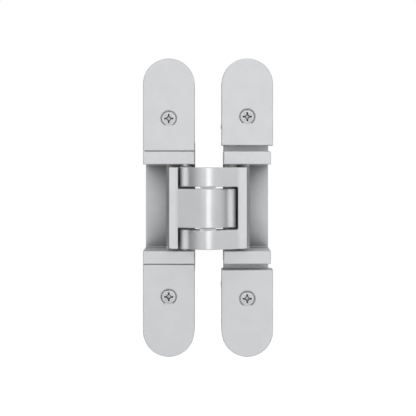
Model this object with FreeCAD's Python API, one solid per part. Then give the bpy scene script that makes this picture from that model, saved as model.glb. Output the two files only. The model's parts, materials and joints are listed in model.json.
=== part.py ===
# Concealed three-way adjustable door hinge, shown open at 180 degrees.
# The frame body is on the right, the leaf body on the left, and two interlaced arms bridge them.
# X runs from the leaf body to the frame body, Y from the viewer into the mortises, Z is up.
import FreeCAD, Part
import math
import os

os.makedirs("parts", exist_ok=True)

# Bodies, as let into a frame and a door leaf
plate_length = 160.0
body_width = 27.6
open_gap = 14.5
cover_thickness = 2.5
flange_depth = 12.5
back_thickness = 2.0
edge_bevel = 0.45
edge_radius = 0.5
joint_gap = 0.3

# Three adjustments, each from its middle position
height_travel = 3.0
compression_travel = 1.0
side_travel = 3.0
height_clearance = 0.2
compression_clearance = 0.15
side_clearance = 0.3

# Carriages: a floor with an upper and a lower block
pocket_half_height = 23.2
block_height = 7.0
floor_depth = 26.0
floor_thickness = 2.2
floor_fillet = 0.8

# Arms in plan, with the hinge open
centre_forward = 4.0
pivot_x = 12.4
pivot_depth = 8.0
slide_pin_x = 20.0
slide_pin_depth = 14.0
closed_gap = 4.0
hump_reach = 8.6
hump_radius = 11.0
hollow_radius = 2.5
shoulder_forward = 5.7
finger_end_x = 14.9
finger_end_radius = 2.7
bar_forward = 6.6
bar_flat_x = 17.7
bar_blend_radius = 6.0
finger_root_x = 8.4
web_back_depth = 1.5
bar_inner_x = 15.9
bar_bevel_x = 20.5
bar_outer_x = 22.6
bar_bevel_depth = 4.0
leg_inner_x = 17.2
leg_step = 1.0
pivot_boss_radius = 4.2
slide_boss_radius = 3.0

# Arms in height
arm_end_gap = 1.6
tongue_half_height = 10.25
washer_gap = 1.15
window_corner_radius = 0.9
arm_edge_radius = 0.4
foot_slope_width = 4.0
foot_slope_rise = 1.4

# Pins, bushes and washers
pin_radius = 2.4
bush_wall = 0.6
bush_flange_radius = 3.6
bush_flange_height = 0.9
bush_flange_bevel = 0.6
centre_pin_radius = 2.7
centre_washer_radius = 4.1
centre_washer_bevel = 0.3
centre_washer_set_back = 1.0
slide_pin_radius = 1.8
slide_bush_radius = 2.8
slide_slot_floor = 1.8
pin_seat_floor = 1.4
running_clearance = 0.05
slot_clearance = 0.2
face_clearance = 0.1

# Fixing holes in the end flanges, two at each end
fixing_end_distance = 9.0
fixing_spacing = 12.0
fixing_hole_radius = 2.75
fixing_head_radius = 5.2

# Cover screws, one to each cover, beyond the adjusting screw on the same side
leaf_cover_screw_spacing = 13.2
frame_cover_screw_spacing = 9.8
cover_screw_head_radius = 3.75
cover_screw_shank_radius = 2.0
cover_screw_length = 9.5
cover_screw_sink = 0.35
cover_window_radius = 4.15
cover_window_flat = 3.4
cross_recess_span = 4.6
cross_recess_width = 1.0
cross_recess_depth = 1.3
cross_core_width = 2.4
cross_core_depth = 1.7
cross_core_tip = 0.6

# Locating lugs on the back of each cover
lug_half_width = 1.6
lug_length = 3.0
lug_offset_x = 9.3
lug_end_distance = 26.0

# Side adjustment: a threaded spindle through an ear of the leaf carriage
spindle_past_block = 4.4
spindle_radius = 2.5
spindle_head_radius = 3.6
spindle_head_height = 2.8
spindle_tail = 4.0
ear_half_width = 5.0
ear_front_depth = 13.0
ear_thickness = 6.0
ear_rim = 1.2
leaf_end_wall = 1.9

# Height and compression adjustment: lips of the frame carriage clamped behind the flanges
clamp_past_opening = 5.6
clamp_screw_radius = 2.0
clamp_head_radius = 3.6
clamp_head_height = 2.8
clamp_plate_half_width = 9.0
clamp_plate_reach = 4.5
clamp_plate_thickness = 3.0
lip_thickness = 3.5
lip_inset = 0.65
lip_past_screw = 1.0
frame_end_wall = 7.4
key_half_width = 3.0
key_height = 0.9
cross_slide_inset = 1.2
deep_corner_radius = 6.0
back_inset = 1.4

# Derived sizes
half_length = plate_length / 2
half_width = body_width / 2
body_x = open_gap / 2 + half_width
block_outer_z = pocket_half_height + block_height
carriage_back = floor_depth + floor_thickness
back_plate_front = carriage_back + side_travel + side_clearance
body_depth = back_plate_front + back_thickness
frame_carriage_half_width = half_width - compression_travel - compression_clearance
leaf_opening_z = block_outer_z + joint_gap
frame_opening_z = block_outer_z + height_travel + height_clearance
arm_half_height = pocket_half_height - arm_end_gap
finger_inner_z = tongue_half_height + washer_gap
pin_end_z = block_outer_z - pin_seat_floor - face_clearance
slide_end_z = block_outer_z - slide_slot_floor - slot_clearance
hump_front = centre_forward + hump_reach
bush_radius = pin_radius + running_clearance + bush_wall
link_length = math.hypot(pivot_x, pivot_depth + centre_forward)
fixing_outer_z = half_length - fixing_end_distance
fixing_inner_z = fixing_outer_z - fixing_spacing
lug_z = half_length - lug_end_distance
spindle_z = block_outer_z + spindle_past_block
ear_outer_z = spindle_z + spindle_radius + ear_rim
leaf_cover_screw_z = spindle_z + leaf_cover_screw_spacing
leaf_wall_outer_z = ear_outer_z + side_clearance + leaf_end_wall
clamp_screw_z = frame_opening_z + clamp_past_opening
frame_cover_screw_z = clamp_screw_z + frame_cover_screw_spacing
lip_front = flange_depth + face_clearance
lip_back = lip_front + lip_thickness
clamp_plate_front = lip_back + face_clearance
clamp_plate_back = clamp_plate_front + clamp_plate_thickness
lip_end_z = clamp_screw_z + lip_past_screw
lip_notch_z = clamp_screw_z - clamp_screw_radius - height_travel - height_clearance
lip_notch_half = clamp_screw_radius + compression_travel + compression_clearance
lip_room_z = lip_end_z + height_travel + height_clearance
frame_wall_outer_z = lip_room_z + frame_end_wall
cross_slide_half_height = block_outer_z - cross_slide_inset
centre_y = (body_depth - hump_front) / 2
through = 1.0
leaf = -1
frame = 1
upper = 1
lower = -1


# Plain solids from two opposite corners, and rods along Z and Y
def block(x0, x1, y0, y1, z0, z1):
    low = FreeCAD.Vector(min(x0, x1), min(y0, y1), min(z0, z1))
    return Part.makeBox(abs(x1 - x0), abs(y1 - y0), abs(z1 - z0), low)


def rod_z(x, y, radius, z0, z1):
    base = FreeCAD.Vector(x, y, min(z0, z1))
    return Part.makeCylinder(radius, abs(z1 - z0), base, FreeCAD.Vector(0, 0, 1))


def rod_y(x, z, radius, y0, y1):
    return Part.makeCylinder(radius, y1 - y0, FreeCAD.Vector(x, y0, z), FreeCAD.Vector(0, 1, 0))


def cone_y(x, z, radius0, radius1, y0, y1):
    base = FreeCAD.Vector(x, y0, z)
    return Part.makeCone(radius0, radius1, y1 - y0, base, FreeCAD.Vector(0, 1, 0))


def line(a, b):
    return Part.LineSegment(FreeCAD.Vector(*a), FreeCAD.Vector(*b)).toShape()


def arc(a, middle, b):
    return Part.Arc(FreeCAD.Vector(*a), FreeCAD.Vector(*middle), FreeCAD.Vector(*b)).toShape()


def prism(edges, direction):
    return Part.Face(Part.Wire(edges)).extrude(FreeCAD.Vector(*direction))


def edges_where(solid, wanted):
    return [edge for edge in solid.Edges if all(wanted(v.Point) for v in edge.Vertexes)]


def bevel(solid, size, wanted):
    return solid.makeChamfer(size, edges_where(solid, wanted))


def round_over(solid, radius, wanted):
    return solid.makeFillet(radius, edges_where(solid, wanted))


def near(a, b):
    return abs(a - b) < 1e-4


# The edges of a solid that run along one axis, 0 for X, 1 for Y and 2 for Z, and whose ends are wanted
def edges_along(solid, axis, wanted):
    found = []
    for edge in solid.Edges:
        ends = [v.Point for v in edge.Vertexes]
        if len(ends) == 2 and near((ends[1] - ends[0]).Length, abs(ends[1][axis] - ends[0][axis])):
            if all(wanted(point) for point in ends):
                found.append(edge)
    return found


# A flat outline with one half-round end, from z_inner to the end of the plate
def plate_prism(side, end, z_inner, y0, y1):
    cx = side * body_x
    z_in = end * z_inner
    z_round = end * (half_length - half_width)
    z_end = end * half_length
    left = cx - half_width
    right = cx + half_width
    edges = [
        line((left, y0, z_in), (right, y0, z_in)),
        line((right, y0, z_in), (right, y0, z_round)),
        arc((right, y0, z_round), (cx, y0, z_end), (left, y0, z_round)),
        line((left, y0, z_round), (left, y0, z_in)),
    ]
    return prism(edges, (0, y1 - y0, 0))


# A square outline that stands on one corner, as the mouth and the floor of a driver recess
def diamond(x, z, y, width):
    reach = width / math.sqrt(2)
    corners = [(x + reach, y, z), (x, y, z + reach), (x - reach, y, z), (x, y, z - reach)]
    return Part.makePolygon([FreeCAD.Vector(*corner) for corner in corners + corners[:1]])


# A cross recess for a driver, sunk from the face at y0
def cross_recess(x, z, y0):
    reach = cross_recess_span / 2
    half = cross_recess_width / 2
    y1 = y0 + cross_recess_depth
    across = block(x - reach, x + reach, y0 - through, y1, z - half, z + half)
    along = block(x - half, x + half, y0 - through, y1, z - reach, z + reach)
    mouth = diamond(x, z, y0, cross_core_width)
    floor = diamond(x, z, y0 + cross_core_depth, cross_core_tip)
    core = Part.makeLoft([mouth, floor], True, True)
    return across.fuse(along).fuse(core)


# Covers and their screws
def cover(side, end, z_inner, screw_z):
    cx = side * body_x
    plate = plate_prism(side, end, z_inner, 0, cover_thickness)
    plate = round_over(plate, edge_radius, lambda p: near(p.y, 0))
    window = rod_y(cx, end * screw_z, cover_window_radius, -through, cover_thickness + through)
    flat = end * screw_z - cover_window_flat
    window = window.cut(block(cx - body_width, cx + body_width, -through * 2, cover_thickness * 2,
                              flat - body_width, flat))
    mouth = cone_y(cx, end * screw_z, cover_window_radius + edge_bevel, cover_window_radius, 0, edge_bevel)
    mouth = mouth.cut(block(cx - body_width, cx + body_width, -through, cover_thickness,
                            flat - edge_bevel - body_width, flat - edge_bevel))
    plate = plate.cut(window).cut(mouth)
    return plate.fuse(lugs(cx, end * lug_z, 0, cover_thickness - through)).removeSplitter()


# The two square lugs behind a cover, or with some play their sockets
def lugs(cx, z, play, y0):
    half = lug_half_width + play
    y1 = cover_thickness + lug_length + play
    places = (cx - lug_offset_x, cx + lug_offset_x)
    return Part.makeCompound([block(x - half, x + half, y0, y1, z - half, z + half) for x in places])


def cover_screw(side, end, screw_z):
    x = side * body_x
    z = end * screw_z
    head_back = cover_thickness - face_clearance
    shank_end = cover_screw_sink + cover_screw_length
    head = rod_y(x, z, cover_screw_head_radius, cover_screw_sink, head_back)
    head = bevel(head, edge_bevel / 2, lambda p: near(p.y, cover_screw_sink))
    flat = z - cover_window_flat + face_clearance
    head = head.cut(block(x - body_width, x + body_width, 0, head_back + through, flat - body_width, flat))
    shank = rod_y(x, z, cover_screw_shank_radius, head_back - through, shank_end)
    screw = head.fuse(shank).removeSplitter()
    return screw.cut(cross_recess(x, z, cover_screw_sink))


# The casting that is screwed into the mortise: two end flanges, two deep end walls and a back plate
def housing(side, opening_z, room_z, wall_outer_z, screw_z):
    cx = side * body_x
    left = cx - body_width
    right = cx + body_width
    deep = block(cx - half_width, cx + half_width, cover_thickness, body_depth, -wall_outer_z, wall_outer_z)
    deep = deep.makeFillet(deep_corner_radius, edges_along(deep, 1, lambda p: near(abs(p.z), wall_outer_z)))
    shell = deep
    for end in (upper, lower):
        shell = shell.fuse(plate_prism(side, end, opening_z, cover_thickness, flange_depth))
    shell = shell.cut(block(left, right, -through, back_plate_front, -opening_z, opening_z))
    shell = shell.cut(block(left, right, flange_depth, back_plate_front, -room_z, room_z))
    shell = shell.removeSplitter()
    sink = fixing_head_radius - fixing_hole_radius
    for end in (upper, lower):
        for z in (end * fixing_inner_z, end * fixing_outer_z):
            shell = shell.cut(rod_y(cx, z, fixing_hole_radius, 0, flange_depth + through))
            shell = shell.cut(cone_y(cx, z, fixing_head_radius, fixing_hole_radius,
                                     cover_thickness, cover_thickness + sink))
        shell = shell.cut(lugs(cx, end * lug_z, face_clearance, 0))
        shell = shell.cut(rod_y(cx, end * screw_z, cover_screw_shank_radius + running_clearance,
                                0, flange_depth + through))
    return shell


def leaf_housing_casting():
    cx = leaf * body_x
    shell = housing(leaf, leaf_opening_z, leaf_opening_z, leaf_wall_outer_z, leaf_cover_screw_z)
    slot_half = ear_half_width + side_clearance
    slot_front = ear_front_depth - side_travel - side_clearance
    slot_back = ear_front_depth + ear_thickness + side_travel + side_clearance
    slot_z = ear_outer_z + side_clearance
    for end in (upper, lower):
        z = end * spindle_z
        shell = shell.cut(block(cx - slot_half, cx + slot_half, slot_front, slot_back,
                                end * leaf_opening_z, end * slot_z))
        shell = shell.cut(rod_y(cx, z, spindle_radius + running_clearance, 0, slot_back + spindle_tail))
        shell = shell.cut(rod_y(cx, z, spindle_head_radius + face_clearance, 0,
                                cover_thickness + spindle_head_height + face_clearance))
    return shell


def frame_housing_casting():
    cx = frame * body_x
    shell = housing(frame, frame_opening_z, lip_room_z, frame_wall_outer_z, frame_cover_screw_z)
    key_room = key_half_width + face_clearance
    shell = shell.cut(block(cx - key_room, cx + key_room, back_plate_front - through,
                            back_plate_front + key_height + face_clearance, -lip_room_z, lip_room_z))
    for edge_x in (cx - half_width, cx + half_width):
        shell = shell.cut(block(edge_x - back_inset, edge_x + back_inset, back_plate_front - through,
                                body_depth + through, -lip_room_z, lip_room_z))
    for end in (upper, lower):
        z = end * clamp_screw_z
        shell = shell.cut(rod_y(cx, z, clamp_screw_radius + running_clearance, 0, flange_depth + through))
        shell = shell.cut(rod_y(cx, z, clamp_head_radius + face_clearance, 0,
                                cover_thickness + clamp_head_height + face_clearance))
    return shell


# The swing of each arm in its body, found from the open and the closed place of the centre pin
def swing_angle():
    open_angle = math.atan2(-(pivot_depth + centre_forward), pivot_x)
    closed_y = -(pivot_depth + closed_gap / 2)
    closed_x = -math.sqrt(link_length ** 2 - closed_y ** 2)
    return open_angle - math.atan2(closed_y, closed_x)


# The place of a slide pin in the leaf body at a share of the full swing, 0 open and 1 closed
def slide_pin_place(share):
    swing = swing_angle()
    open_angle = math.atan2(-(pivot_depth + centre_forward), pivot_x)
    link_angle = open_angle - swing * share
    centre_pin_x = -pivot_x + link_length * math.cos(link_angle)
    centre_pin_y = pivot_depth + link_length * math.sin(link_angle)
    turn = -(math.pi - swing) * share
    dx = -slide_pin_x
    dy = slide_pin_depth + centre_forward
    return (centre_pin_x + dx * math.cos(turn) - dy * math.sin(turn),
            centre_pin_y + dx * math.sin(turn) + dy * math.cos(turn))


# The curved track of a slide pin: an arc through its open, middle and closed places
def track(side, radius, z0, z1):
    start, middle, finish = [FreeCAD.Vector(-side * x, y, z0) for x, y in
                             (slide_pin_place(share) for share in (0.0, 0.5, 1.0))]
    centre = Part.Circle(start, middle, finish).Center

    def out_from(point, offset):
        return point + (point - centre).normalize() * offset

    def tip(point, other):
        tangent = (point - centre).cross(FreeCAD.Vector(0, 0, 1)).normalize()
        if tangent.dot(point - other) < 0:
            tangent = tangent * -1
        return point + tangent * radius

    edges = [
        Part.Arc(out_from(start, radius), out_from(middle, radius), out_from(finish, radius)).toShape(),
        Part.Arc(out_from(finish, radius), tip(finish, start), out_from(finish, -radius)).toShape(),
        Part.Arc(out_from(finish, -radius), out_from(middle, -radius), out_from(start, -radius)).toShape(),
        Part.Arc(out_from(start, -radius), tip(start, finish), out_from(start, radius)).toShape(),
    ]
    return prism(edges, (0, 0, z1 - z0))


# Carriages
def carriage(side, half):
    cx = side * body_x
    body = block(cx - half, cx + half, 0, carriage_back, -block_outer_z, block_outer_z)
    body = body.cut(block(cx - body_width, cx + body_width, -through, floor_depth,
                          -pocket_half_height, pocket_half_height))
    inner = edges_along(body, 0, lambda p: near(p.y, floor_depth) and near(abs(p.z), pocket_half_height))
    body = body.makeFillet(floor_fillet, inner)
    body = round_over(body, edge_radius, lambda p: near(p.y, 0))
    for end in (upper, lower):
        z_open = end * (pocket_half_height - through)
        body = body.cut(rod_z(side * pivot_x, pivot_depth, pin_radius,
                              z_open, end * (block_outer_z - pin_seat_floor)))
        body = body.cut(track(side, slide_bush_radius + slot_clearance,
                              z_open, end * (block_outer_z - slide_slot_floor)))
    return body


def leaf_carriage_casting():
    cx = leaf * body_x
    body = carriage(leaf, half_width)
    ear_back = ear_front_depth + ear_thickness
    for end in (upper, lower):
        ear = block(cx - ear_half_width, cx + ear_half_width, ear_front_depth, ear_back,
                    end * (block_outer_z - through), end * ear_outer_z)
        ear = ear.cut(rod_y(cx, end * spindle_z, spindle_radius + running_clearance,
                            ear_front_depth - through, ear_back + through))
        body = body.fuse(ear)
    return body.removeSplitter()


def frame_carriage_casting():
    cx = frame * body_x
    body = carriage(frame, frame_carriage_half_width)
    lip_half_width = frame_carriage_half_width - lip_inset
    for end in (upper, lower):
        lip = block(cx - lip_half_width, cx + lip_half_width, lip_front, lip_back,
                    end * (block_outer_z - through), end * lip_end_z)
        lip = lip.cut(block(cx - lip_notch_half, cx + lip_notch_half, 0, carriage_back,
                            end * lip_notch_z, end * (lip_end_z + through)))
        body = body.fuse(lip)
    key_room = key_half_width + face_clearance
    body = body.cut(block(cx - body_width, cx + body_width, carriage_back - key_height - face_clearance,
                          carriage_back + through, -key_room, key_room))
    return body.removeSplitter()


# The plate between the frame carriage and the back plate, with one key for each adjustment
def cross_slide_plate():
    cx = frame * body_x
    front = carriage_back + face_clearance
    back = back_plate_front - face_clearance
    plate = block(cx - frame_carriage_half_width, cx + frame_carriage_half_width, front, back,
                  -cross_slide_half_height, cross_slide_half_height)
    height_key = block(cx - key_half_width, cx + key_half_width, front, back_plate_front + key_height,
                       -cross_slide_half_height, cross_slide_half_height)
    width_key = block(cx - frame_carriage_half_width, cx + frame_carriage_half_width,
                      carriage_back - key_height, back, -key_half_width, key_half_width)
    return plate.fuse(height_key).fuse(width_key).removeSplitter()


# Plan of an arm that has its bar on the given side, as one closed wire at height z0.
# The front is a hump over the centre pin, with a hollow and a short shoulder on the finger's side
# and a straight slope down to the flat face of the bar on the other
def arm_edges(side, z0):
    def p(x, y):
        return (side * x, y, z0)

    front = -shoulder_forward
    hump_y = -hump_front + hump_radius
    hollow_y = front - hollow_radius
    reach = hump_radius + hollow_radius
    hollow_x = math.sqrt(reach ** 2 - (hump_y - hollow_y) ** 2)
    meet_x = hollow_x * hump_radius / reach
    meet_y = hump_y + (hollow_y - hump_y) * hump_radius / reach
    hollow_angle = math.atan2(meet_y - hollow_y, hollow_x - meet_x)
    hollow_mid = (math.pi / 2 + hollow_angle) / 2
    bend_x = hollow_x - hollow_radius * math.cos(hollow_mid)
    bend_y = hollow_y + hollow_radius * math.sin(hollow_mid)
    blend_y = -bar_forward - bar_blend_radius
    both_radii = hump_radius + bar_blend_radius
    slope = (math.asin(both_radii / math.hypot(bar_flat_x, hump_y - blend_y))
             - math.atan2(hump_y - blend_y, bar_flat_x))

    def on_hump(angle):
        return p(hump_radius * math.sin(angle), hump_y - hump_radius * math.cos(angle))

    def on_blend(angle):
        return p(bar_flat_x - bar_blend_radius * math.sin(angle),
                 blend_y + bar_blend_radius * math.cos(angle))

    end_curve = finger_end_radius * (1 - math.sqrt(0.5))
    return [
        line(p(-finger_end_x, pivot_depth), p(-finger_end_x, front + finger_end_radius)),
        arc(p(-finger_end_x, front + finger_end_radius), p(-finger_end_x + end_curve, front + end_curve),
            p(-finger_end_x + finger_end_radius, front)),
        line(p(-finger_end_x + finger_end_radius, front), p(-hollow_x, front)),
        arc(p(-hollow_x, front), p(-bend_x, bend_y), p(-meet_x, meet_y)),
        arc(p(-meet_x, meet_y), p(0, -hump_front), on_hump(slope)),
        line(on_hump(slope), on_blend(slope)),
        arc(on_blend(slope), on_blend(slope / 2), p(bar_flat_x, -bar_forward)),
        line(p(bar_flat_x, -bar_forward), p(bar_bevel_x, -bar_forward)),
        line(p(bar_bevel_x, -bar_forward), p(bar_outer_x, bar_bevel_depth)),
        line(p(bar_outer_x, bar_bevel_depth), p(slide_pin_x + slide_boss_radius, slide_pin_depth)),
        arc(p(slide_pin_x + slide_boss_radius, slide_pin_depth),
            p(slide_pin_x, slide_pin_depth + slide_boss_radius),
            p(slide_pin_x - slide_boss_radius, slide_pin_depth)),
        line(p(slide_pin_x - slide_boss_radius, slide_pin_depth),
             p(leg_inner_x, web_back_depth + leg_step)),
        line(p(leg_inner_x, web_back_depth + leg_step), p(bar_inner_x, web_back_depth)),
        line(p(bar_inner_x, web_back_depth), p(-finger_root_x, web_back_depth)),
        line(p(-finger_root_x, web_back_depth), p(-finger_root_x, pivot_depth)),
        line(p(-finger_root_x, pivot_depth), p(-finger_end_x, pivot_depth)),
    ]


def arm_blank(side):
    blank = prism(arm_edges(side, -arm_half_height), (0, 0, 2 * arm_half_height))
    boss = rod_z(-side * pivot_x, pivot_depth, pivot_boss_radius, -arm_half_height, arm_half_height)
    return blank.fuse(boss)


# Bores that both arms have: centre pin, body pivot and slide pin
def arm_bores(arm, side, centre_bore):
    far = arm_half_height + through
    arm = arm.cut(rod_z(0, -centre_forward, centre_bore, -far, far))
    arm = arm.cut(rod_z(-side * pivot_x, pivot_depth, bush_radius, -far, far))
    return arm.cut(rod_z(side * slide_pin_x, slide_pin_depth, slide_pin_radius, -far, far))


# The tongue arm has its bar on the leaf side, and one middle tongue that pivots in the frame carriage
def tongue_arm_casting():
    arm = arm_blank(leaf)
    for end in (upper, lower):
        arm = arm.cut(block(-bar_inner_x, body_x, -body_depth, body_depth,
                            end * tongue_half_height, end * pocket_half_height))
    arm = round_front(slope_foot(arm.removeSplitter(), leaf))
    return arm_bores(arm, leaf, centre_pin_radius + running_clearance + bush_wall)


# The fork arm has its bar on the frame side, and two fingers that pivot in the leaf carriage
def fork_arm_casting():
    arm = arm_blank(frame)
    window = block(-body_x, bar_inner_x, -body_depth, body_depth, -finger_inner_z, finger_inner_z)
    corners = edges_along(window, 1, lambda p: near(p.x, bar_inner_x))
    window = window.makeFillet(window_corner_radius, corners)
    arm = round_front(slope_foot(arm.cut(window).removeSplitter(), frame))
    return arm_bores(arm, frame, centre_pin_radius)


# The lower end of the bar rises towards its outer side
def slope_foot(arm, side):
    outer_x = slide_pin_x + slide_boss_radius
    corners = [(outer_x - foot_slope_width, -arm_half_height), (outer_x, foot_slope_rise - arm_half_height),
               (outer_x + through, -pocket_half_height), (outer_x - foot_slope_width, -pocket_half_height)]
    points = [(side * x, -body_depth, z) for x, z in corners]
    sides = [line(a, b) for a, b in zip(points, points[1:] + points[:1])]
    return arm.cut(prism(sides, (0, 2 * body_depth, 0)))


# Rounded rims all round the front of an arm, and down the inner edge of its bar
def round_front(arm):
    rims = []
    for edge in arm.Edges:
        ends = [v.Point for v in edge.Vertexes]
        front = all(p.y < 0 or (p.y < bar_bevel_depth + through and abs(p.x) > bar_bevel_x) for p in ends)
        upright = near(ends[0].x, ends[-1].x)
        if front and (not upright or near(abs(ends[0].x), bar_inner_x)):
            rims.append(edge)
    return arm.makeFillet(arm_edge_radius, rims)


# Flanged bush with a domed rim, standing on the face at z_face
def flanged_bush(x, y, bore, radius, end, z_inner, z_face):
    z_outer = z_face + bush_flange_height
    sleeve = rod_z(x, y, radius, end * z_inner, end * z_face)
    flange = rod_z(x, y, bush_flange_radius, end * z_face, end * z_outer)
    flange = bevel(flange, bush_flange_bevel, lambda p: near(abs(p.z), z_outer))
    bush = sleeve.fuse(flange).removeSplitter()
    return bush.cut(rod_z(x, y, bore, end * (z_inner - through), end * (z_outer + through)))


def tube_z(x, y, bore, radius, z0, z1):
    return rod_z(x, y, radius, z0, z1).cut(rod_z(x, y, bore, min(z0, z1) - through, max(z0, z1) + through))


# A washer in the gap above or below the tongue. It runs forward to close the gap in front of the pin
def centre_washer(z_low, z_high):
    disc = rod_z(0, -centre_forward, centre_washer_radius, z_low, z_high)
    nose = block(-centre_washer_radius, centre_washer_radius, centre_washer_set_back - hump_front,
                 -centre_forward, z_low, z_high)
    washer = disc.fuse(nose).removeSplitter()
    washer = bevel(washer, centre_washer_bevel, lambda p: near(p.z, z_high))
    return washer.cut(rod_z(0, -centre_forward, centre_pin_radius, z_low - through, z_high + through))


# A plate that holds the lip of the frame carriage against the flange
def clamp_plate(end):
    cx = frame * body_x
    z = end * clamp_screw_z
    plate = block(cx - clamp_plate_half_width, cx + clamp_plate_half_width,
                  clamp_plate_front, clamp_plate_back,
                  z - end * clamp_plate_reach, end * (lip_room_z - side_clearance))
    bore = clamp_screw_radius + running_clearance
    return plate.cut(rod_y(cx, z, bore, clamp_plate_front - through, clamp_plate_back + through))


# Headed screw or spindle along Y, with a cross recess
def headed_rod(x, z, head_radius, head_height, radius, y_end):
    head = rod_y(x, z, head_radius, cover_thickness + face_clearance, cover_thickness + head_height)
    shank = rod_y(x, z, radius, cover_thickness + head_height - through, y_end)
    rod = head.fuse(shank).removeSplitter()
    return rod.cut(cross_recess(x, z, cover_thickness + face_clearance))


def both(make):
    return Part.makeCompound([make(upper), make(lower)])


nodes = {}

# Frame body
nodes["frame_housing"] = frame_housing_casting()
nodes["frame_cover_upper"] = cover(frame, upper, frame_opening_z, frame_cover_screw_z)
nodes["frame_cover_lower"] = cover(frame, lower, frame_opening_z, frame_cover_screw_z)
nodes["frame_cover_screws"] = both(lambda end: cover_screw(frame, end, frame_cover_screw_z))
nodes["frame_clamp_screws"] = both(lambda end: headed_rod(
    frame * body_x, end * clamp_screw_z, clamp_head_radius, clamp_head_height,
    clamp_screw_radius, clamp_plate_back))
nodes["frame_clamp_plates"] = both(clamp_plate)

# Sliding pieces of the frame body
nodes["frame_cross_slide"] = cross_slide_plate()
nodes["frame_carriage"] = frame_carriage_casting()
nodes["frame_pivot_pin"] = rod_z(pivot_x, pivot_depth, pin_radius, -pin_end_z, pin_end_z)
sleeve_face_z = pocket_half_height - face_clearance - bush_flange_height
nodes["frame_pivot_sleeves"] = both(lambda end: flanged_bush(
    pivot_x, pivot_depth, pin_radius, bush_radius, end, tongue_half_height + face_clearance, sleeve_face_z))

# Tongue arm
nodes["tongue_arm"] = tongue_arm_casting()
nodes["tongue_pivot_bush"] = tube_z(pivot_x, pivot_depth, pin_radius + running_clearance, bush_radius,
                                    -tongue_half_height, tongue_half_height)
centre_bush_radius = centre_pin_radius + running_clearance + bush_wall
nodes["centre_bush"] = tube_z(0, -centre_forward, centre_pin_radius + running_clearance, centre_bush_radius,
                              -tongue_half_height, tongue_half_height)
nodes["tongue_slide_pin"] = rod_z(
    -slide_pin_x, slide_pin_depth, slide_pin_radius, -slide_end_z, slide_end_z)
slide_bush_z = arm_half_height + face_clearance
nodes["tongue_slide_bushes"] = both(lambda end: tube_z(
    -slide_pin_x, slide_pin_depth, slide_pin_radius, slide_bush_radius,
    end * slide_bush_z, end * slide_end_z))

# Fork arm
nodes["fork_arm"] = fork_arm_casting()
nodes["centre_pin"] = rod_z(0, -centre_forward, centre_pin_radius, -arm_half_height, arm_half_height)
nodes["centre_washers"] = Part.makeCompound([
    centre_washer(tongue_half_height + face_clearance, finger_inner_z),
    centre_washer(-finger_inner_z, -tongue_half_height - face_clearance)])
nodes["fork_pivot_bushes"] = both(lambda end: flanged_bush(
    -pivot_x, pivot_depth, pin_radius + running_clearance, bush_radius,
    end, finger_inner_z, arm_half_height))
nodes["fork_slide_pin"] = rod_z(slide_pin_x, slide_pin_depth, slide_pin_radius, -slide_end_z, slide_end_z)
nodes["fork_slide_bushes"] = both(lambda end: tube_z(
    slide_pin_x, slide_pin_depth, slide_pin_radius, slide_bush_radius,
    end * slide_bush_z, end * slide_end_z))

# Leaf carriage
nodes["leaf_carriage"] = leaf_carriage_casting()
nodes["leaf_pivot_pins"] = both(lambda end: rod_z(
    -pivot_x, pivot_depth, pin_radius, end * finger_inner_z, end * pin_end_z))

# Leaf body
nodes["leaf_housing"] = leaf_housing_casting()
nodes["leaf_cover_upper"] = cover(leaf, upper, leaf_opening_z, leaf_cover_screw_z)
nodes["leaf_cover_lower"] = cover(leaf, lower, leaf_opening_z, leaf_cover_screw_z)
nodes["leaf_cover_screws"] = both(lambda end: cover_screw(leaf, end, leaf_cover_screw_z))
spindle_end = ear_front_depth + ear_thickness + side_travel + spindle_tail
for name, end in (("side_spindle_upper", upper), ("side_spindle_lower", lower)):
    nodes[name] = headed_rod(leaf * body_x, end * spindle_z, spindle_head_radius, spindle_head_height,
                             spindle_radius, spindle_end)

# The frame's origin is the middle of the open hinge's box
for name, shape in nodes.items():
    moved = shape.copy()
    moved.translate(FreeCAD.Vector(0, -centre_y, 0))
    moved.exportStep("parts/" + name + ".step")
    print(name, len(shape.Solids), round(shape.Volume, 1), shape.isValid())
print("swing", round(math.degrees(swing_angle()), 4), "origin depth", round(centre_y, 4))
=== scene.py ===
import json
import math
import bmesh
import bpy
from mathutils import Matrix, Vector


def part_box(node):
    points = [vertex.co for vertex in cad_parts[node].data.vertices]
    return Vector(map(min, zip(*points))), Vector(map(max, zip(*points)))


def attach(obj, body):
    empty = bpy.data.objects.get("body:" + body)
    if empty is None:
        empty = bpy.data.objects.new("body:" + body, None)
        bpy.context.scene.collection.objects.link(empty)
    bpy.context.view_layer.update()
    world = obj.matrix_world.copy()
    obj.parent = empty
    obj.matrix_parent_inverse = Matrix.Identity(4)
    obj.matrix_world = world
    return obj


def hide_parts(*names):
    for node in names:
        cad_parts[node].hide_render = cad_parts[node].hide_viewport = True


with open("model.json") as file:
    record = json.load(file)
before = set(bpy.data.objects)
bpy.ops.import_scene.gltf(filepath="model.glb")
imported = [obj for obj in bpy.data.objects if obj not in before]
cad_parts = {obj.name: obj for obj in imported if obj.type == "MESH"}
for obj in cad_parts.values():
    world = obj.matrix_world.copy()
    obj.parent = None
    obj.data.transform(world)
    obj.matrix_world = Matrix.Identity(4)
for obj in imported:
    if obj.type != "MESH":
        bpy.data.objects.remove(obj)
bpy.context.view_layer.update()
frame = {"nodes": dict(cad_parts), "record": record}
scene = bpy.context.scene
scene.view_settings.view_transform = "Standard"
mm = 0.001


# Camera, level and square on to the plates, raised above the middle of the hinge
camera = {
    "height": 23 * mm,
    "distance": 546 * mm,  # from the faces of the plates
    "lens": 88.2,
    "sensor": 36.0,
    "nearest": 10 * mm,
    "framePixels": 416,
    "horizonPixel": 164.8,  # row of the photograph that is level with the camera
}


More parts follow.
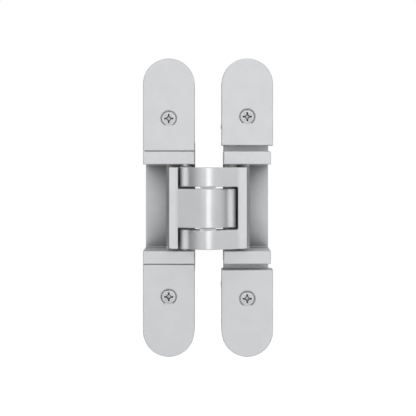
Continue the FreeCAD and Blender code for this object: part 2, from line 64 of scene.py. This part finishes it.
def makeCamera():
    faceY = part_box("leaf_cover_upper")[0].y
    data = bpy.data.cameras.new("photoCamera")
    data.lens = camera["lens"]
    data.sensor_width = camera["sensor"]
    data.shift_y = (camera["horizonPixel"] - camera["framePixels"] / 2) / camera["framePixels"]
    data.clip_start = camera["nearest"]
    eye = bpy.data.objects.new("photoCamera", data)
    eye.location = (0, faceY - camera["distance"], camera["height"])
    eye.rotation_euler = (math.radians(90), 0, 0)
    scene.collection.objects.link(eye)
    scene.camera = eye


makeCamera()
print("camera placed")


# Node helpers
def addNode(tree, kind, **values):
    node = tree.nodes.new(kind)
    for name, value in values.items():
        if name in node.inputs:
            node.inputs[name].default_value = value
        else:
            setattr(node, name, value)
    return node


def join(tree, source, output, target, socket):
    tree.links.new(source.outputs[output], target.inputs[socket])


def addRange(tree, fromSpan, toSpan=(0, 1), easing="LINEAR"):
    remap = addNode(tree, "ShaderNodeMapRange", interpolation_type=easing)
    for name, value in zip(("From Min", "From Max", "To Min", "To Max"), (*fromSpan, *toSpan)):
        remap.inputs[name].default_value = value
    return remap


def addSideways(tree, source, output):
    # How far a point or a direction reaches to the left or the right
    axes = addNode(tree, "ShaderNodeSeparateXYZ")
    away = addNode(tree, "ShaderNodeMath", operation="ABSOLUTE")
    join(tree, source, output, axes, 0)
    join(tree, axes, "X", away, 0)
    return away


# Studio: white to look at, a softer white for the light it gives, and lamps and dark cards round the hinge.
# A gloss lamp only draws highlights, a paint lamp only lights the tone, and all does both
studio = {
    "white": (1, 1, 1, 1),
    "whiteStrength": 1.0,
    "fillLight": 0.50,
    "fillSides": {"start": 0.45, "end": 0.90, "share": 0.35},  # the fill fades to this share at both sides
    "floorHeight": -0.30,
    "floorSize": 6.0,
    "floorColor": (0.86, 0.86, 0.87, 1),
    "floorGlow": 0.8,
    "floorGlowStrength": 1.17,
    "lamps": {
        "frontStrip": {"place": (0.01, -0.75, 0.02), "size": (0.10, 0.5), "power": 0.12, "seenBy": "gloss"},
        "frontGleam": {"place": (0.08, -0.85, 0.05), "size": (0.40, 0.6), "power": 0.88, "seenBy": "gloss"},
        "frontTopLamp": {"place": (0, -0.80, 0.18), "size": (1.4, 0.3), "power": 1.2, "seenBy": "all"},
        "steepLamp": {"place": (0, -0.60, 1.40), "size": (2.3, 0.45), "power": 7.5, "seenBy": "all"},
        "backLamp": {"place": (0.40, 1.10, 0.45), "size": (1.2, 0.8), "power": 14.0, "seenBy": "paint"},
    },
    "cards": {  # beside, above and below the hinge and behind it, out of sight, for the metal to mirror
        "leftCard": {"corners": ((-0.32, -0.11, -0.30), (-0.32, 1.2, 0.55)), "shade": 0.26},
        "rightCard": {"corners": ((0.32, 0.10, -0.30), (0.32, 1.2, 0.55)), "shade": 0.02},
        "topCard": {"corners": ((-0.32, 0.05, 0.35), (0.32, 1.2, 0.35)), "shade": 0.02},
        "lowCard": {"corners": ((-0.32, 0.05, -0.28), (0.32, 1.2, -0.28)), "shade": 0.02},
    },
    "cardSurface": {"Roughness": 1.0, "Specular IOR Level": 0.0},
}


def whiteForEyeAndGloss(tree):
    path = addNode(tree, "ShaderNodeLightPath")
    either = addNode(tree, "ShaderNodeMath", operation="MAXIMUM")
    anyOf = addNode(tree, "ShaderNodeMath", operation="MAXIMUM")
    join(tree, path, "Is Camera Ray", either, 0)
    join(tree, path, "Is Glossy Ray", either, 1)
    join(tree, either, 0, anyOf, 0)
    join(tree, path, "Is Transmission Ray", anyOf, 1)
    return anyOf


def makeWorld():
    world = bpy.data.worlds.new("studioWorld")
    scene.world = world
    world.use_nodes = True
    tree = world.node_tree
    tree.nodes.clear()
    sides = studio["fillSides"]
    fade = (studio["fillLight"], studio["fillLight"] * sides["share"])
    direction = addNode(tree, "ShaderNodeTexCoord")
    aside = addSideways(tree, direction, "Generated")
    strength = addRange(tree, (sides["start"], sides["end"]), fade, "SMOOTHSTEP")
    fill = addNode(tree, "ShaderNodeBackground", Color=studio["white"])
    white = addNode(tree, "ShaderNodeBackground", Color=studio["white"], Strength=studio["whiteStrength"])
    mix = addNode(tree, "ShaderNodeMixShader")
    output = addNode(tree, "ShaderNodeOutputWorld")
    join(tree, aside, 0, strength, "Value")
    join(tree, strength, "Result", fill, "Strength")
    join(tree, whiteForEyeAndGloss(tree), 0, mix, 0)
    join(tree, fill, 0, mix, 1)
    join(tree, white, 0, mix, 2)
    join(tree, mix, 0, output, 0)


def makeSheet(name, corners):
    mesh = bpy.data.meshes.new(name)
    mesh.from_pydata(corners, [], [(0, 1, 2, 3)])
    sheet = bpy.data.objects.new(name, mesh)
    scene.collection.objects.link(sheet)
    return sheet


def makeFloor():
    half = studio["floorSize"] / 2
    z = studio["floorHeight"]
    floor = makeSheet("studioFloor", [(-half, -half, z), (half, -half, z), (half, half, z), (-half, half, z)])
    material = bpy.data.materials.new("studioPaper")
    material.use_nodes = True
    tree = material.node_tree
    tree.nodes.clear()
    paper = addNode(tree, "ShaderNodeBsdfDiffuse", Color=studio["floorColor"])
    glow = addNode(tree, "ShaderNodeEmission", Color=studio["white"], Strength=studio["floorGlowStrength"])
    share = addNode(tree, "ShaderNodeMath", operation="MULTIPLY")
    mix = addNode(tree, "ShaderNodeMixShader")
    output = addNode(tree, "ShaderNodeOutputMaterial")
    share.inputs[1].default_value = studio["floorGlow"]
    join(tree, whiteForEyeAndGloss(tree), 0, share, 0)
    join(tree, share, 0, mix, 0)
    join(tree, paper, 0, mix, 1)
    join(tree, glow, 0, mix, 2)
    join(tree, mix, 0, output, 0)
    floor.data.materials.append(material)


def makeCard(name, card):
    (x0, y0, z0), (x1, y1, z1) = card["corners"]
    if x0 == x1:  # upright, at one side
        corners = [(x0, y0, z0), (x0, y1, z0), (x0, y1, z1), (x0, y0, z1)]
    else:  # level
        corners = [(x0, y0, z0), (x1, y0, z0), (x1, y1, z0), (x0, y1, z0)]
    sheet = makeSheet(name, corners)
    material = bpy.data.materials.new(name)
    material.use_nodes = True
    shader = material.node_tree.nodes["Principled BSDF"]
    shader.inputs["Base Color"].default_value = (card["shade"], card["shade"], card["shade"], 1)
    for socket, value in studio["cardSurface"].items():
        shader.inputs[socket].default_value = value
    sheet.data.materials.append(material)
    sheet.visible_camera = False
    sheet.visible_shadow = False


def makeLamp(name, lamp):
    data = bpy.data.lights.new(name, "AREA")
    data.shape = "RECTANGLE"
    data.size, data.size_y = lamp["size"]
    data.energy = lamp["power"]
    light = bpy.data.objects.new(name, data)
    light.location = lamp["place"]
    light.rotation_euler = (-Vector(lamp["place"])).to_track_quat("-Z", "Y").to_euler()  # at the hinge
    light.visible_diffuse = lamp["seenBy"] != "gloss"
    light.visible_glossy = lamp["seenBy"] != "paint"
    scene.collection.objects.link(light)


makeWorld()
makeFloor()
for lampName, lamp in studio["lamps"].items():
    makeLamp(lampName, lamp)
for cardName, card in studio["cards"].items():
    makeCard(cardName, card)
print("studio lit with", len(studio["lamps"]), "lamps and", len(studio["cards"]), "cards")


# Finishes. Each has a slow change of tone, a fine grain in its relief and a roughness that follows the grain
finishes = {
    "satinCover": {"light": (0.64, 0.645, 0.66), "dark": (0.62, 0.625, 0.64), "metallic": 0.3,
                   "roughness": (0.50, 0.58), "grainSize": 0.25 * mm, "relief": 0.004 * mm},
    "satinCasting": {"light": (0.67, 0.675, 0.69), "dark": (0.64, 0.645, 0.66), "metallic": 0.2,
                     "roughness": (0.42, 0.52), "grainSize": 0.35 * mm, "relief": 0.008 * mm},
    "satinArm": {"light": (0.60, 0.605, 0.615), "dark": (0.58, 0.585, 0.595), "metallic": 0.45,
                 "roughness": (0.50, 0.58), "grainSize": 0.2 * mm, "relief": 0.002 * mm,
                 "polish": {"halfWidth": 2 * mm, "fade": 7 * mm, "roughness": 0.27},
                 # flank: a painted shade on the faces that look left or right, with a duller roughness
                 "flank": {"span": (0.97, 0.995), "color": (0.28, 0.283, 0.29, 1), "roughness": 0.75}},
    "groundSteel": {"light": (0.58, 0.585, 0.59), "dark": (0.50, 0.505, 0.51), "metallic": 1.0,
                    "roughness": (0.22, 0.34), "grainSize": 0.15 * mm, "relief": 0.003 * mm},
    "brightZinc": {"light": (0.62, 0.625, 0.63), "dark": (0.57, 0.575, 0.58), "metallic": 0.3,
                   "roughness": (0.46, 0.56), "grainSize": 0.2 * mm, "relief": 0.003 * mm},
    # A painted shade for the walls of the screw recess
    "recessPaintedShade": {"light": (0.16, 0.16, 0.165), "dark": (0.10, 0.10, 0.105), "metallic": 0.4,
                    "roughness": (0.50, 0.60), "grainSize": 0.15 * mm, "relief": 0.002 * mm},
    "palePolymer": {"light": (0.82, 0.82, 0.80), "dark": (0.78, 0.78, 0.76), "metallic": 0.0,
                    "roughness": (0.40, 0.50), "grainSize": 0.3 * mm, "relief": 0.004 * mm},
}
# The carriages have the finish of the castings, and a painted shade on the floor of the pocket, from top to
# floor in depth, and from open to shut in the share of the sky that it sees
paintedPocketShade = {"reach": 30 * mm, "rays": 16, "sky": (0.76, 0.40), "depth": (9 * mm, 14 * mm),
               "color": (0.16, 0.162, 0.165, 1)}
finishes["satinCarriagePaintedShade"] = {**finishes["satinCasting"], "pocket": paintedPocketShade}

# The two noises that every finish is made of, and the part of each noise's range that it uses
mottleNoise = {"size": 9 * mm, "detail": 3.0, "roughness": 0.5, "span": (0.35, 0.65)}
grainNoise = {"detail": 2.0, "roughness": 0.6, "span": (0.3, 0.7)}


def addNoise(tree, place, size, noise):
    texture = addNode(tree, "ShaderNodeTexNoise", Scale=1 / size, Detail=noise["detail"],
                      Roughness=noise["roughness"])
    join(tree, place, "Object", texture, "Vector")
    return texture


def addPaintedPocketShade(tree, place, tone, pocket):
    # Painted shade: the floor of the pocket is darker close to what stands over it
    cover = addNode(tree, "ShaderNodeAmbientOcclusion", Distance=pocket["reach"], samples=pocket["rays"])
    axes = addNode(tree, "ShaderNodeSeparateXYZ")
    hidden = addRange(tree, pocket["sky"])
    deep = addRange(tree, pocket["depth"])
    both = addNode(tree, "ShaderNodeMath", operation="MULTIPLY")
    mix = addNode(tree, "ShaderNodeMixRGB", Color2=pocket["color"])
    join(tree, place, "Object", axes, 0)
    join(tree, axes, "Y", deep, "Value")
    join(tree, cover, "AO", hidden, "Value")
    join(tree, hidden, "Result", both, 0)
    join(tree, deep, "Result", both, 1)
    join(tree, both, 0, mix, "Fac")
    join(tree, tone, "Color", mix, "Color1")
    return mix


def addPolish(tree, place, rough, polish):
    # A band along the middle of the hinge is smoother than the rest
    away = addSideways(tree, place, "Object")
    edge = (polish["halfWidth"], polish["halfWidth"] + polish["fade"])
    share = addRange(tree, edge, easing="SMOOTHSTEP")
    mix = addNode(tree, "ShaderNodeMix", data_type="FLOAT")
    mix.inputs["A"].default_value = polish["roughness"]
    join(tree, away, 0, share, "Value")
    join(tree, share, "Result", mix, "Factor")
    join(tree, rough, "Result", mix, "B")
    return mix


def addPaintedFlankShade(tree, place, tone, rough, flank):
    # Painted shade: faces that look straight to the left or the right get a darker colour, and they are
    # duller
    away = addSideways(tree, place, "Normal")
    share = addRange(tree, flank["span"], easing="SMOOTHSTEP")
    mix = addNode(tree, "ShaderNodeMixRGB", Color2=flank["color"])
    dull = addNode(tree, "ShaderNodeMix", data_type="FLOAT")
    dull.inputs["B"].default_value = flank["roughness"]
    join(tree, away, 0, share, "Value")
    join(tree, share, "Result", mix, "Fac")
    join(tree, tone, "Color", mix, "Color1")
    join(tree, share, "Result", dull, "Factor")
    join(tree, rough, 0, dull, "A")
    return mix, dull


def makeFinish(name, look):
    material = bpy.data.materials.new(name)
    material.use_nodes = True
    tree = material.node_tree
    shader = tree.nodes["Principled BSDF"]
    shader.inputs["Metallic"].default_value = look["metallic"]
    place = addNode(tree, "ShaderNodeTexCoord")
    mottle = addNoise(tree, place, mottleNoise["size"], mottleNoise)
    grain = addNoise(tree, place, look["grainSize"], grainNoise)
    tone = addNode(tree, "ShaderNodeValToRGB")
    for stop, position, shade in zip(tone.color_ramp.elements, mottleNoise["span"], ("dark", "light")):
        stop.position = position
        stop.color = look[shade] + (1,)
    rough = addRange(tree, grainNoise["span"], look["roughness"])
    bump = addNode(tree, "ShaderNodeBump", Strength=1.0, Distance=look["relief"])
    join(tree, mottle, "Fac", tone, "Fac")
    join(tree, grain, "Fac", rough, "Value")
    join(tree, grain, "Fac", bump, "Height")
    if "pocket" in look:
        tone = addPaintedPocketShade(tree, place, tone, look["pocket"])
    if "polish" in look:
        rough = addPolish(tree, place, rough, look["polish"])
    if "flank" in look:
        tone, rough = addPaintedFlankShade(tree, place, tone, rough, look["flank"])
    join(tree, tone, 0, shader, "Base Color")
    join(tree, rough, 0, shader, "Roughness")
    join(tree, bump, "Normal", shader, "Normal")
    return material


materials = {name: makeFinish(name, look) for name, look in finishes.items()}
print("made", len(materials), "finishes")


# The finish of each slot that the hinge's pieces are listed under
slotFinish = {
    "cover": "satinCover",
    "casting": "satinCasting",
    "arm": "satinArm",
    "steel": "groundSteel",
    "screw": "brightZinc",
    "bush": "palePolymer",
}


def dressPiece(piece, finish):
    if not piece.material_slots:
        piece.data.materials.append(None)
    for materialSlot in piece.material_slots:
        materialSlot.material = materials[finish]


for part in frame["record"]["subparts"]:
    node = part["node"]
    finish = "satinCarriagePaintedShade" if node.endswith("_carriage") else slotFinish[part["material_slot"]]
    dressPiece(frame["nodes"][node], finish)


# Screws. A piece is built along Z with its head's face at the origin, then laid along Y on its node
screwMesh = {
    "roundSides": 48,
    "rowsPerTurn": 4,
    "runoutTurns": 1.5,  # over which the thread fades towards the head
    "weldShare": 0.001,  # of the pitch, under which points become one
    "rodOverlap": 0.4 * mm,  # of the rod in the head
    "cutterRise": 0.5 * mm,  # of each cutter above the head's face
    "smoothAngle": 35,
    "tolerance": 0.01 * mm,
}


def finishSolid(name, shape):
    bmesh.ops.recalc_face_normals(shape, faces=shape.faces)
    mesh = bpy.data.meshes.new(name)
    shape.to_mesh(mesh)
    shape.free()
    solid = bpy.data.objects.new(name, mesh)
    scene.collection.objects.link(solid)
    return solid


def turnedSolid(name, profile):
    # profile holds (radius, z) from the axis out and back to the axis
    shape = bmesh.new()
    sides = screwMesh["roundSides"]
    angles = [2 * math.pi * i / sides for i in range(sides)]
    rings = []
    for radius, z in profile:
        if radius == 0:
            rings.append([shape.verts.new((0, 0, z))] * sides)
        else:
            rings.append([shape.verts.new((radius * math.cos(a), radius * math.sin(a), z)) for a in angles])
    for low, high in zip(rings, rings[1:]):
        for i in range(sides):
            corners = [low[i], low[i - 1], high[i - 1], high[i]]
            shape.faces.new(list(dict.fromkeys(corners)))
    return finishSolid(name, shape)


def threadedRod(name, radius, pitch, depth, z0, z1):
    # The rows of the grid lean with the helix, so crests and roots fall on its lines
    shape = bmesh.new()
    sides = screwMesh["roundSides"]
    rowsPerTurn = screwMesh["rowsPerTurn"]
    cuts = (0.0, 0.5, 1.0, 0.5)  # share of the depth at each row, crest first and root half way
    runout = screwMesh["runoutTurns"] * pitch
    rows = int((z1 - z0) / pitch * rowsPerTurn) + 2 * rowsPerTurn + 1
    grid = []
    for side in range(sides):
        angle = 2 * math.pi * side / sides
        column = []
        for row in range(rows):
            z = z0 + ((row - rowsPerTurn) / rowsPerTurn + side / sides) * pitch
            z = min(max(z, z0), z1)
            fade = min(1.0, (z - z0) / runout)
            chamfer = max(0.0, depth - (z1 - z))
            r = radius - max(depth * cuts[row % rowsPerTurn] * fade, chamfer)
            column.append(shape.verts.new((r * math.cos(angle), r * math.sin(angle), z)))
        grid.append(column)
    for side in range(sides):
        wrap = rowsPerTurn if side == sides - 1 else 0
        near = grid[side]
        far = grid[(side + 1) % sides]
        for row in range(rows - 1 - wrap):
            shape.faces.new((near[row], far[row + wrap], far[row + 1 + wrap], near[row + 1]))
    weld = pitch * screwMesh["weldShare"]
    bmesh.ops.remove_doubles(shape, verts=shape.verts, dist=weld)
    bmesh.ops.dissolve_degenerate(shape, edges=shape.edges, dist=weld)
    openEdges = [edge for edge in shape.edges if edge.is_boundary]
    bmesh.ops.holes_fill(shape, edges=openEdges, sides=0)
    return finishSolid(name, shape)


def taperedPrism(name, mouth, floor, depth):
    # mouth and floor are outlines with as many points, and the prism stands proud of its mouth
    shape = bmesh.new()
    sections = [(mouth, -screwMesh["cutterRise"]), (mouth, 0), (floor, depth)]
    rings = [[shape.verts.new((x, y, z)) for x, y in outline] for outline, z in sections]
    for low, high in zip(rings, rings[1:]):
        for i in range(len(low)):
            shape.faces.new((low[i], low[i - 1], high[i - 1], high[i]))
    shape.faces.new(rings[0])
    shape.faces.new(rings[-1])
    return finishSolid(name, shape)


def combine(solid, others, operation):
    for other in others:
        modifier = solid.modifiers.new("combine", "BOOLEAN")
        modifier.object = other
        modifier.operation = operation
        modifier.solver = "EXACT"
    graph = bpy.context.evaluated_depsgraph_get()
    merged = bpy.data.meshes.new_from_object(solid.evaluated_get(graph))
    solid.modifiers.clear()
    solid.data = merged
    for other in others:
        bpy.data.objects.remove(other)


# Driver recess: four tapered slots, a core that narrows to its floor, and a fine mark between the slots
driverRecess = {
    "span": 4.9 * mm,
    "slotWidth": 1.0 * mm,
    "slotFloorWidth": 0.75 * mm,
    "slotFloorSpan": 3.4 * mm,
    "slotDepth": 1.3 * mm,
    "coreReach": 1.8 * mm,
    "coreFloorReach": 1.0 * mm,
    "coreDepth": 1.7 * mm,
    "markRadii": (1.75 * mm, 2.55 * mm),
    "markWidth": 0.16 * mm,
    "markDepth": 0.14 * mm,
}


def turned(points, quarters):
    turn = Matrix.Rotation(quarters * math.pi / 2, 2)
    return [tuple(turn @ Vector(point)) for point in points]


def crossOutline(span, width):
    reach, half = span / 2, width / 2
    slot = [(reach, -half), (reach, half), (half, half)]
    return [point for quarter in range(4) for point in turned(slot, quarter)]


def diamondOutline(reach):
    return [(reach, 0), (0, reach), (-reach, 0), (0, -reach)]


def recessCutters():
    slots = taperedPrism("slots", crossOutline(driverRecess["span"], driverRecess["slotWidth"]),
                         crossOutline(driverRecess["slotFloorSpan"], driverRecess["slotFloorWidth"]),
                         driverRecess["slotDepth"])
    core = taperedPrism("core", diamondOutline(driverRecess["coreReach"]),
                        diamondOutline(driverRecess["coreFloorReach"]), driverRecess["coreDepth"])
    cutters = [slots, core]
    inner, outer = driverRecess["markRadii"]
    half = driverRecess["markWidth"] / 2
    for quarter in range(4):
        mark = turned([(outer, -half), (outer, half), (inner, half), (inner, -half)], quarter + 0.5)
        cutters.append(taperedPrism("mark", mark, mark, driverRecess["markDepth"]))
    return cutters


# The three kinds of screw. A kind's head radius and length come from its node's box
screws = {
    "coverScrew": {"headHeight": 2.05 * mm, "bevel": 0.3 * mm, "shankRadius": 2.0 * mm, "pitch": 0.7 * mm,
                   "threadDepth": 0.4 * mm, "flatBelow": 3.3 * mm},
    "clampScrew": {"headHeight": 2.7 * mm, "bevel": 0.3 * mm, "shankRadius": 2.0 * mm, "pitch": 0.7 * mm,
                   "threadDepth": 0.4 * mm, "flatBelow": None},
    "sideSpindle": {"headHeight": 2.7 * mm, "bevel": 0.3 * mm, "shankRadius": 2.5 * mm, "pitch": 1.0 * mm,
                    "threadDepth": 0.55 * mm, "flatBelow": None},
}


def makeScrew(kind, headRadius, length):
    look = screws[kind]
    head, bevel, flat = look["headHeight"], look["bevel"], look["flatBelow"]
    step = bevel / 3  # the edge of the head turns in two steps
    profile = [(0, 0), (headRadius - bevel, 0), (headRadius - step, step), (headRadius, bevel),
               (headRadius, head), (0, head)]
    screw = turnedSolid(kind, profile)
    rod = threadedRod("rod", look["shankRadius"], look["pitch"], look["threadDepth"],
                      head - screwMesh["rodOverlap"], length)
    combine(screw, [rod], "UNION")
    cutters = recessCutters()
    if flat:
        side = 2 * headRadius  # more than the head's width
        square = [(-side, -flat), (side, -flat), (side, -flat - side), (-side, -flat - side)]
        cutters.append(taperedPrism("flat", square, square, head))
    combine(screw, cutters, "DIFFERENCE")
    # The walls of the recess take the second finish, a painted shade, and the floor of its core stays bright
    recessRadius = driverRecess["markRadii"][1]
    tolerance = screwMesh["tolerance"]
    for polygon in screw.data.polygons:
        x, y, z = polygon.center
        inRecess = math.hypot(x, y) < recessRadius and tolerance < z < head
        onCoreFloor = z > driverRecess["coreDepth"] - tolerance
        polygon.material_index = 1 if inRecess and not onCoreFloor else 0
    return screw


def smoothByAngle(mesh, degrees):
    for polygon in mesh.polygons:
        polygon.use_smooth = True
    mesh.set_sharp_from_angle(angle=math.radians(degrees))


# Each node with its kind of screw, the body that it rides on, and whether two stand one above the other
screwNodes = {
    "leaf_cover_screws": {"kind": "coverScrew", "body": "leaf_body", "pair": True},
    "frame_cover_screws": {"kind": "coverScrew", "body": "frame_body", "pair": True},
    "frame_clamp_screws": {"kind": "clampScrew", "body": "frame_body", "pair": True},
    "side_spindle_upper": {"kind": "sideSpindle", "body": "upper_spindle", "pair": False},
    "side_spindle_lower": {"kind": "sideSpindle", "body": "lower_spindle", "pair": False},
}


def placeScrews(node, use):
    low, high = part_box(node)
    headRadius = (high.x - low.x) / 2
    middleX = (low.x + high.x) / 2
    below = screws[use["kind"]]["flatBelow"] or headRadius
    heights = [high.z - headRadius, low.z + below] if use["pair"] else [(low.z + high.z) / 2]
    screw = makeScrew(use["kind"], headRadius, high.y - low.y)
    layAlongY = Matrix.Rotation(math.radians(-90), 4, "X")
    whole = bmesh.new()
    for z in heights:
        copy = screw.data.copy()
        copy.transform(Matrix.Translation((middleX, low.y, z)) @ layAlongY)
        whole.from_mesh(copy)
        bpy.data.meshes.remove(copy)
    bpy.data.objects.remove(screw)
    piece = finishSolid(node + "_threaded", whole)
    smoothByAngle(piece.data, screwMesh["smoothAngle"])
    # The second finish is the painted shade of the recess walls
    for finish in (slotFinish["screw"], "recessPaintedShade"):
        piece.data.materials.append(materials[finish])
    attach(piece, use["body"])
    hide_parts(node)


for screwNode, use in screwNodes.items():
    placeScrews(screwNode, use)
print("made the screws of", len(screwNodes), "nodes")
